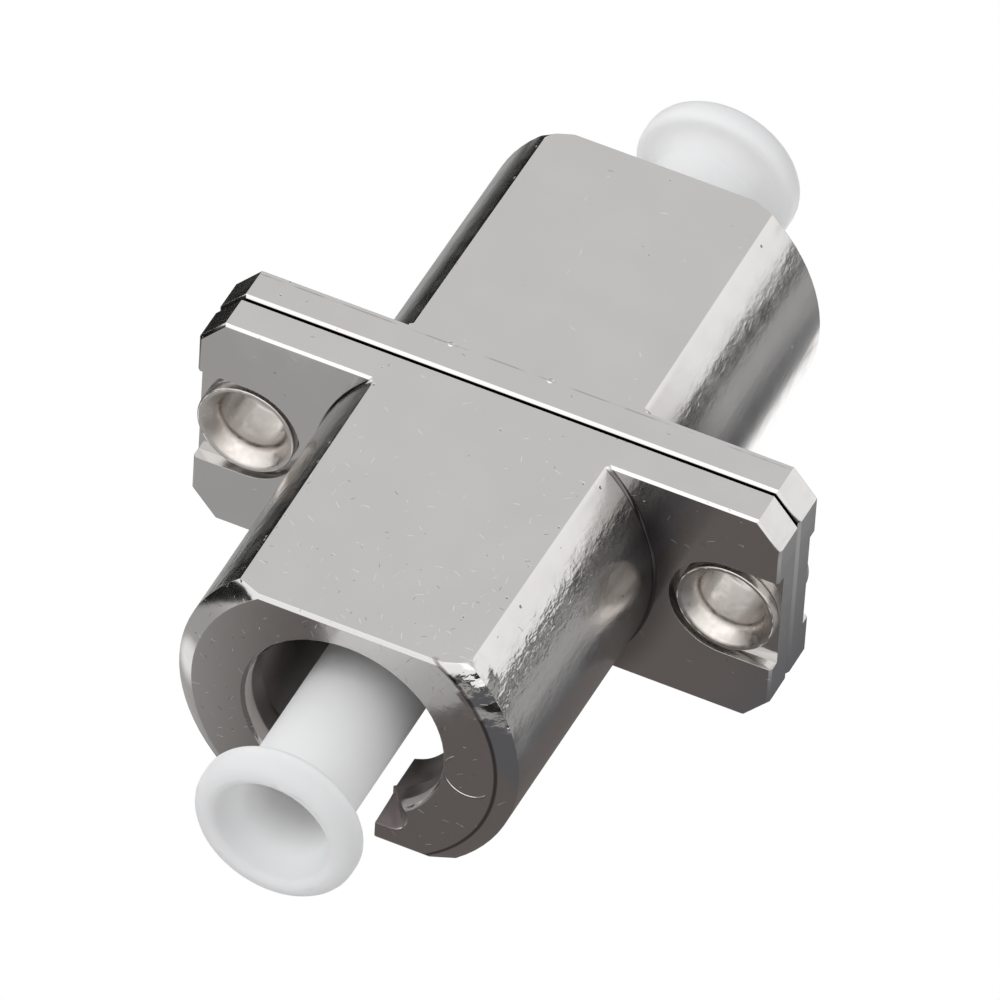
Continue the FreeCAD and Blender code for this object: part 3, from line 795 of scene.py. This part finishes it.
def rounded_copy(name, node, material, body, worn):
    mesh = bmesh.new()
    mesh.from_mesh(nodes[node].data)
    bmesh.ops.remove_doubles(mesh, verts=mesh.verts, dist=MERGE_GAP)
    bmesh.ops.dissolve_limit(mesh, angle_limit=SAME_PLANE, use_dissolve_boundaries=False,
                             verts=mesh.verts, edges=mesh.edges)
    corner = min(mesh.verts, key=lambda v: (v.co - worn).length)
    bevel(mesh, [corner], WORN_REACH, "VERTICES", 5)
    narrow_joint(mesh)
    sharp = [edge for edge in mesh.edges if edge.is_manifold and edge.calc_face_angle() > SHARP]
    bevel(mesh, sharp, EDGE_ROUND, "EDGES", 2, slide=True)
    piece = piece_from(name, mesh, material, body, node)
    weigh = piece.modifiers.new("weighted_normals", "WEIGHTED_NORMAL")
    weigh.weight = NORMAL_WEIGHT
    print(name, "edges rounded:", len(sharp), "faces:", len(piece.data.polygons))


# %% Rounded castings
for side, turn in (("front", 1), ("rear", -1)):
    worn = Vector((WORN_CORNER.x * turn, WORN_CORNER.y * turn, WORN_CORNER.z))
    rounded_copy(side + "_casting", side + "_shell", nickel, "adapter", worn)


# %% [markdown]
# ## Turned and rolled pieces
#
# A rivet and a cap are bodies of revolution. A half section of a few corners is spun about the
# axis, and then each ring of corners is rounded with its own radius. That keeps the section short
# and readable.


# %% Spinning helper
SAME_PLACE = 1e-7
ROUND_STEPS = 6


def spun(section, centre, steps):
    """section is a closed loop of (along Y, radius, rounding), in millimetres."""
    mesh = bmesh.new()
    corners = [mesh.verts.new((0, depth * MM, radius * MM)) for depth, radius, _ in section]
    edges = [mesh.edges.new((corners[i - 1], corners[i])) for i in range(len(corners))]
    on_axis = [edge for edge in edges if max(v.co.z for v in edge.verts) < SAME_PLACE]
    bmesh.ops.delete(mesh, geom=on_axis, context="EDGES")
    bmesh.ops.spin(mesh, geom=mesh.verts[:] + mesh.edges[:], cent=(0, 0, 0), axis=(0, 1, 0), dvec=(0, 0, 0),
                   angle=math.tau, steps=steps, use_merge=True)
    bmesh.ops.remove_doubles(mesh, verts=mesh.verts, dist=MERGE_GAP)
    bmesh.ops.recalc_face_normals(mesh, faces=mesh.faces)
    for depth, radius, rounding in section:
        if rounding:
            ring = [edge for edge in mesh.edges if all(
                abs(v.co.y - depth * MM) < SAME_PLACE
                and abs(math.hypot(v.co.x, v.co.z) - radius * MM) < SAME_PLACE
                for v in edge.verts)]
            bevel(mesh, ring, rounding * MM, "EDGES", ROUND_STEPS)
    bmesh.ops.translate(mesh, verts=mesh.verts, vec=centre)
    return mesh


# %% Rivets
RIVET_STEPS = 96
RIM_FACE = 1.48
RIM_RADIUS = 1.85
RECESS_FLOOR = 1.07
SHANK_RADIUS = 1.40
BORE_RADIUS = 1.20
FUNNEL_RADIUS = 1.70
FUNNEL_FLOOR = 1.08
THROAT_RADIUS = 1.32
THROAT_FLOOR = 0.83


def rivet(name, node):
    corner_low, corner_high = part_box(node)
    centre = ((corner_low.x + corner_high.x) / 2, 0, 0)
    half = [
        (RECESS_FLOOR, SHANK_RADIUS, 0.0),
        (RECESS_FLOOR, RIM_RADIUS, 0.08),
        (RIM_FACE, RIM_RADIUS, 0.16),
        (RIM_FACE, FUNNEL_RADIUS, 0.10),
        (FUNNEL_FLOOR, THROAT_RADIUS, 0.12),
        (THROAT_FLOOR, BORE_RADIUS, 0.10),
    ]
    section = half + [(-depth, radius, rounding) for depth, radius, rounding in reversed(half)]
    mesh = spun(section, centre, RIVET_STEPS)
    piece_from(name, mesh, rivet_nickel, "adapter", node)


rivet("left_rivet", "left_eyelet")
rivet("right_rivet", "right_eyelet")

# %% Dust caps
CAP_STEPS = 128
CAP_TAIL = 1.5
CAP_END = 18.35
CAP_RIM_BACK = 17.08
CAP_GRIP_RADIUS = 1.27
CAP_SHAFT_RADIUS = 1.975
CAP_RIM_RADIUS = 3.02
CAP_MOUTH_RADIUS = 2.2
CAP_FUNNEL_END = 16.65
CAP_HOLLOW_RADIUS = 1.42
CAP_HOLLOW_FLOOR = 9.53
CAP_GRIP_FLOOR = 8.33


def dust_cap(name, node, body, way):
    section = [
        (CAP_TAIL, CAP_GRIP_RADIUS, 0.15),
        (CAP_TAIL, CAP_SHAFT_RADIUS, 0.15),
        (CAP_RIM_BACK, CAP_SHAFT_RADIUS, 0.70),
        (CAP_RIM_BACK, CAP_RIM_RADIUS, 0.33),
        (CAP_END, CAP_RIM_RADIUS, 0.60),
        (CAP_END, CAP_MOUTH_RADIUS, 0.40),
        (CAP_FUNNEL_END, CAP_HOLLOW_RADIUS, 0.70),
        (CAP_HOLLOW_FLOOR, CAP_HOLLOW_RADIUS, 0.3),
        (CAP_HOLLOW_FLOOR, 0.0, 0.0),
        (CAP_GRIP_FLOOR, 0.0, 0.0),
        (CAP_GRIP_FLOOR, CAP_GRIP_RADIUS, 0.1),
    ]
    section = [(depth * way, radius, rounding) for depth, radius, rounding in section]
    mesh = spun(section, (0, 0, 0), CAP_STEPS)
    piece_from(name, mesh, cap_plastic, body, node)


dust_cap("front_cap_moulding", "front_dust_cap", "front_cap", -1)
dust_cap("rear_cap_moulding", "rear_dust_cap", "rear_cap", 1)
